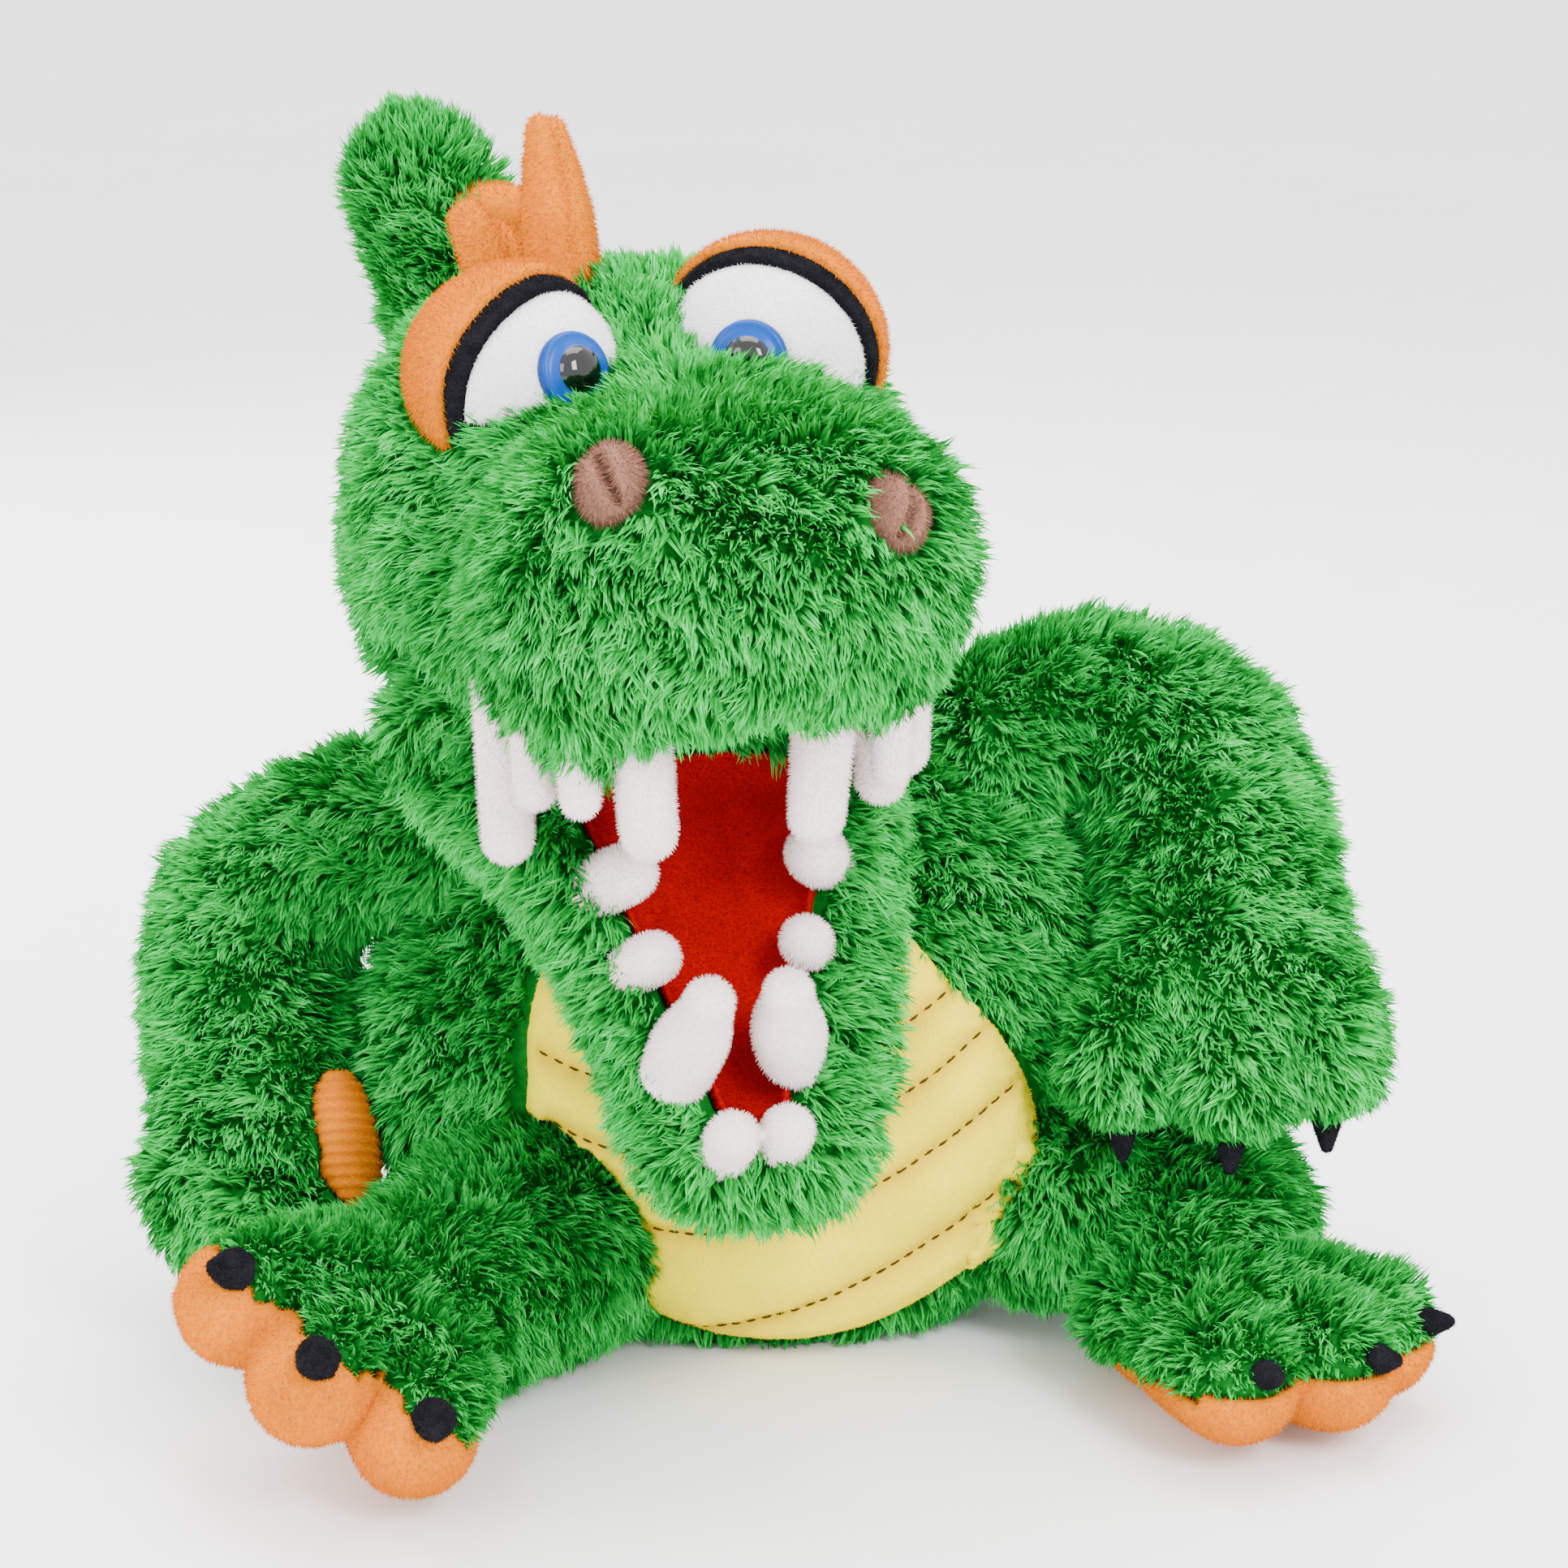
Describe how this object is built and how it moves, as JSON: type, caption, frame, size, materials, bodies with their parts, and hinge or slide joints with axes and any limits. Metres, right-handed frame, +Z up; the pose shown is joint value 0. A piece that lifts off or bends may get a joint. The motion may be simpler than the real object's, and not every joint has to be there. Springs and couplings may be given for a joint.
{
  "type": "stuffed dinosaur",
  "caption": "Seated shaggy plush dinosaur with a wide open mouth, plush teeth, crest spikes, quilted belly and a tail that curls up behind; head, jaw, limbs and tail move.",
  "frame": {"origin": "middle of the flat seat that the toy rests on", "axes": "+Z up, the toy faces -Y, +X towards the viewer's right when facing the toy"},
  "size_m": [0.3877, 0.3943, 0.3699],
  "materials": {
    "green_plush": "shaggy pile",
    "orange_plush": "short pile",
    "yellow_minky": "smooth short pile",
    "tooth_plush": "short pile",
    "eyeball_plush": "short pile",
    "red_plush": "short pile",
    "nostril_plush": "short pile",
    "black_felt": "felt",
    "stuffing": "polyester fibre",
    "pellet_bag": "woven cotton",
    "stiffener": "flexible sheet",
    "eye_plastic": "moulded gloss",
    "washer_plastic": "moulded"
  },
  "bodies": {
    "torso": {"torso_skin": "green_plush", "torso_filling": "stuffing", "seat_pellet_bag": "pellet_bag", "belly_panel": "yellow_minky", "back_spikes": "orange_plush"},
    "neck": {"neck_stuffing": "stuffing"},
    "head": {"head_skin": "green_plush", "head_filling": "stuffing", "palate_board": "stiffener", "upper_mouth_lining": "red_plush", "upper_fang_left": "tooth_plush", "upper_fang_right": "tooth_plush", "upper_corner_fang_left": "tooth_plush", "upper_corner_fang_right": "tooth_plush", "upper_small_teeth_left": "tooth_plush", "upper_small_teeth_right": "tooth_plush", "nostril_left": "nostril_plush", "nostril_right": "nostril_plush", "eyeball_left": "eyeball_plush", "eyeball_right": "eyeball_plush", "safety_eye_left": "eye_plastic", "safety_eye_right": "eye_plastic", "eye_washer_left": "washer_plastic", "eye_washer_right": "washer_plastic", "eyelid_left": "orange_plush", "eyelid_right": "orange_plush", "lash_left": "black_felt", "lash_right": "black_felt", "crest_spike_front": "orange_plush", "crest_spike_rear": "orange_plush"},
    "jaw": {"jaw_skin": "green_plush", "jaw_filling": "stuffing", "jaw_board": "stiffener", "lower_mouth_lining": "red_plush", "lower_fang_left": "tooth_plush", "lower_fang_right": "tooth_plush", "lower_incisors": "tooth_plush", "lower_small_teeth_left": "tooth_plush", "lower_small_teeth_right": "tooth_plush"},
    "arm_left": {"arm_skin_left": "green_plush", "arm_filling_left": "stuffing", "palm_pad_left": "orange_plush", "hand_claws_left": "black_felt"},
    "arm_right": {"arm_skin_right": "green_plush", "arm_filling_right": "stuffing", "palm_pad_right": "orange_plush", "hand_claws_right": "black_felt"},
    "leg_left": {"leg_skin_left": "green_plush", "leg_filling_left": "stuffing", "sole_pad_left": "orange_plush", "foot_claws_left": "black_felt"},
    "leg_right": {"leg_skin_right": "green_plush", "leg_filling_right": "stuffing", "sole_pad_right": "orange_plush", "foot_claws_right": "black_felt"},
    "tail": {"tail_skin": "green_plush", "tail_filling": "stuffing", "tail_spikes": "orange_plush"}
  },
  "joints": [
    {"name": "neck_turn", "type": "hinge", "parent": "torso", "child": "neck", "pos_m": [-0.05, -0.004, 0.202], "axis": [0, 0, 1], "range_deg": [-12, 8]},
    {"name": "head_nod", "type": "hinge", "parent": "neck", "child": "head", "pos_m": [-0.05, -0.004, 0.202], "axis": [0.9509, 0.309, 0.0175], "range_deg": [-12, 1]},
    {"name": "jaw_hinge", "type": "hinge", "parent": "head", "child": "jaw", "pos_m": [-0.03628, -0.06816, 0.21301], "axis": [0.9509, 0.309, 0.0175], "range_deg": [-10, 1]},
    {"name": "shoulder_left", "type": "hinge", "parent": "torso", "child": "arm_left", "pos_m": [-0.097, 0.008, 0.148], "axis": [1, 0, 0], "range_deg": [-60, 25]},
    {"name": "shoulder_right", "type": "hinge", "parent": "torso", "child": "arm_right", "pos_m": [0.056, 0.008, 0.168], "axis": [1, 0, 0], "range_deg": [-25, 0]},
    {"name": "hip_left", "type": "hinge", "parent": "torso", "child": "leg_left", "pos_m": [-0.07, -0.044, 0.038], "axis": [1, 0, 0], "range_deg": [-20, 12]},
    {"name": "hip_right", "type": "hinge", "parent": "torso", "child": "leg_right", "pos_m": [0.084, -0.022, 0.046], "axis": [1, 0, 0], "range_deg": [-10, 12]},
    {"name": "tail_base", "type": "hinge", "parent": "torso", "child": "tail", "pos_m": [-0.008, 0.076, 0.05], "axis": [1, 0, 0], "range_deg": [-20, 8]}
  ]
}
